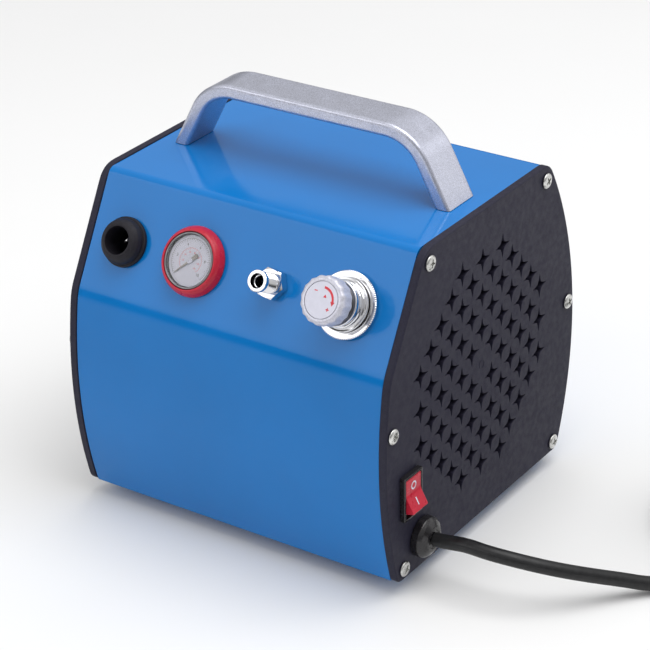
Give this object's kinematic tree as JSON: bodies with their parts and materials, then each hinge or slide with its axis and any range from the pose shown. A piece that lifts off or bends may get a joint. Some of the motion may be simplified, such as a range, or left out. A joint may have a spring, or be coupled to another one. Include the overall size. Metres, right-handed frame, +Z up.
{
  "type": "airbrush compressor",
  "caption": "Portable piston air compressor in a curved steel case with grille end plates, carrying handle, pressure gauge, regulator, hose outlet, switch, and mains lead.",
  "frame": {"origin": "on the surface it stands on, under the middle of the compressor's own box, without the lead, coil and plug", "axes": "+X towards the end plate with the switch and the lead, -Y out of the front with the sloping control panel, +Z up"},
  "size_m": [0.3412, 0.2931, 0.2048],
  "materials": {
    "shell_blue": "smooth glossy blue paint on bent steel sheet",
    "plate_black": "fine moulded texture",
    "rubber_black": "moulded rubber",
    "handle_silver": "satin silver-grey metallic paint",
    "screw_zinc": "zinc plated",
    "fitting_chrome": "polished plating",
    "regulator_silver": "satin",
    "red_plastic": "gloss moulded plastic",
    "print_white": "printed face",
    "lens_clear": "clear polished cover",
    "needle_pale": "pale painted pointer",
    "brass_parts": "machined brass",
    "cast_alloy": "die-cast, fine grain",
    "steel_dark": "dark machined steel",
    "core_steel": "laminated steel core",
    "winding_copper": "varnished copper wire",
    "fan_white": "moulded plastic",
    "hose_blue": "smooth flexible tube",
    "cord_black": "smooth cable sheath",
    "plastic_black": "gloss moulded plastic"
  },
  "bodies": {
    "case": {"case_shell": "shell_blue", "base_plate": "shell_blue", "side_plate_right": "plate_black", "side_plate_left": "plate_black", "plate_screw_right_1": "screw_zinc", "plate_screw_right_2": "screw_zinc", "plate_screw_right_3": "screw_zinc", "plate_screw_right_4": "screw_zinc", "plate_screw_right_5": "screw_zinc", "plate_screw_right_6": "screw_zinc", "plate_screw_left_1": "screw_zinc", "plate_screw_left_2": "screw_zinc", "plate_screw_left_3": "screw_zinc", "plate_screw_left_4": "screw_zinc", "plate_screw_left_5": "screw_zinc", "plate_screw_left_6": "screw_zinc", "handle_nut_left": "screw_zinc", "handle_nut_right": "screw_zinc", "plug_pin_left": "screw_zinc", "plug_pin_right": "screw_zinc", "foot_front_left": "rubber_black", "foot_back_left": "rubber_black", "foot_front_right": "rubber_black", "foot_back_right": "rubber_black", "holder_grommet": "rubber_black", "handle": "handle_silver", "gauge_bezel": "red_plastic", "gauge_case": "steel_dark", "gauge_dial": "print_white", "gauge_lens": "lens_clear", "outlet_fitting": "fitting_chrome", "regulator_ring": "fitting_chrome", "regulator_sleeve": "fitting_chrome", "outlet_nut": "brass_parts", "regulator_body": "brass_parts", "switch_housing": "plastic_black", "cord_gland": "plastic_black", "plug_body": "plastic_black", "intake_filter": "plastic_black", "power_cord": "cord_black", "cord_coil": "cord_black", "motor_stator": "core_steel", "motor_windings": "winding_copper", "end_bell": "cast_alloy", "crankcase": "cast_alloy", "cylinder": "cast_alloy", "cylinder_head": "cast_alloy", "air_hose": "hose_blue", "gauge_hose": "hose_blue", "outlet_hose": "hose_blue"},
    "regulator_spindle": {"regulator_spindle": "steel_dark"},
    "regulator_knob": {"regulator_knob": "regulator_silver", "knob_label": "print_white"},
    "gauge_needle": {"gauge_needle": "needle_pale"},
    "switch_rocker": {"switch_rocker": "red_plastic"},
    "rotor": {"motor_rotor": "steel_dark", "cooling_fan": "fan_white", "crank_disc": "steel_dark"},
    "connecting_rod": {"connecting_rod": "cast_alloy"},
    "piston": {"piston": "cast_alloy"}
  },
  "joints": [
    {"name": "regulator_turn", "type": "hinge", "parent": "case", "child": "regulator_spindle", "pos_m": [0.0564, -0.06323, 0.14011], "axis": [0, 0.8746, -0.4848], "range_deg": [0, 1080]},
    {"name": "regulator_pull", "type": "slide", "parent": "regulator_spindle", "child": "regulator_knob", "axis": [0, -0.8746, 0.4848], "range_m": [0, 0.003]},
    {"name": "gauge_needle_turn", "type": "hinge", "parent": "case", "child": "gauge_needle", "pos_m": [-0.0288, -0.06323, 0.14011], "axis": [0, 0.8746, -0.4848], "range_deg": [0, 270], "stiffness_Nm_per_rad": 0.001},
    {"name": "switch_rock", "type": "hinge", "parent": "case", "child": "switch_rocker", "pos_m": [0.0856, -0.06301, 0.0524], "axis": [0, 1, 0], "range_deg": [0, 28]},
    {"name": "motor_spin", "type": "hinge", "parent": "case", "child": "rotor", "pos_m": [0.0231, 0.00939, 0.066], "axis": [1, 0, 0], "continuous": true},
    {"name": "crank_pin", "type": "hinge", "parent": "rotor", "child": "connecting_rod", "pos_m": [-0.0364, 0.00939, 0.071], "axis": [1, 0, 0], "continuous": true},
    {"name": "piston_stroke", "type": "slide", "parent": "case", "child": "piston", "axis": [0, 0, 1], "range_m": [-0.01, 0]}
  ],
  "couplings": [
    {"joint": "crank_pin", "follows": "motor_spin", "ratio": -1}
  ]
}
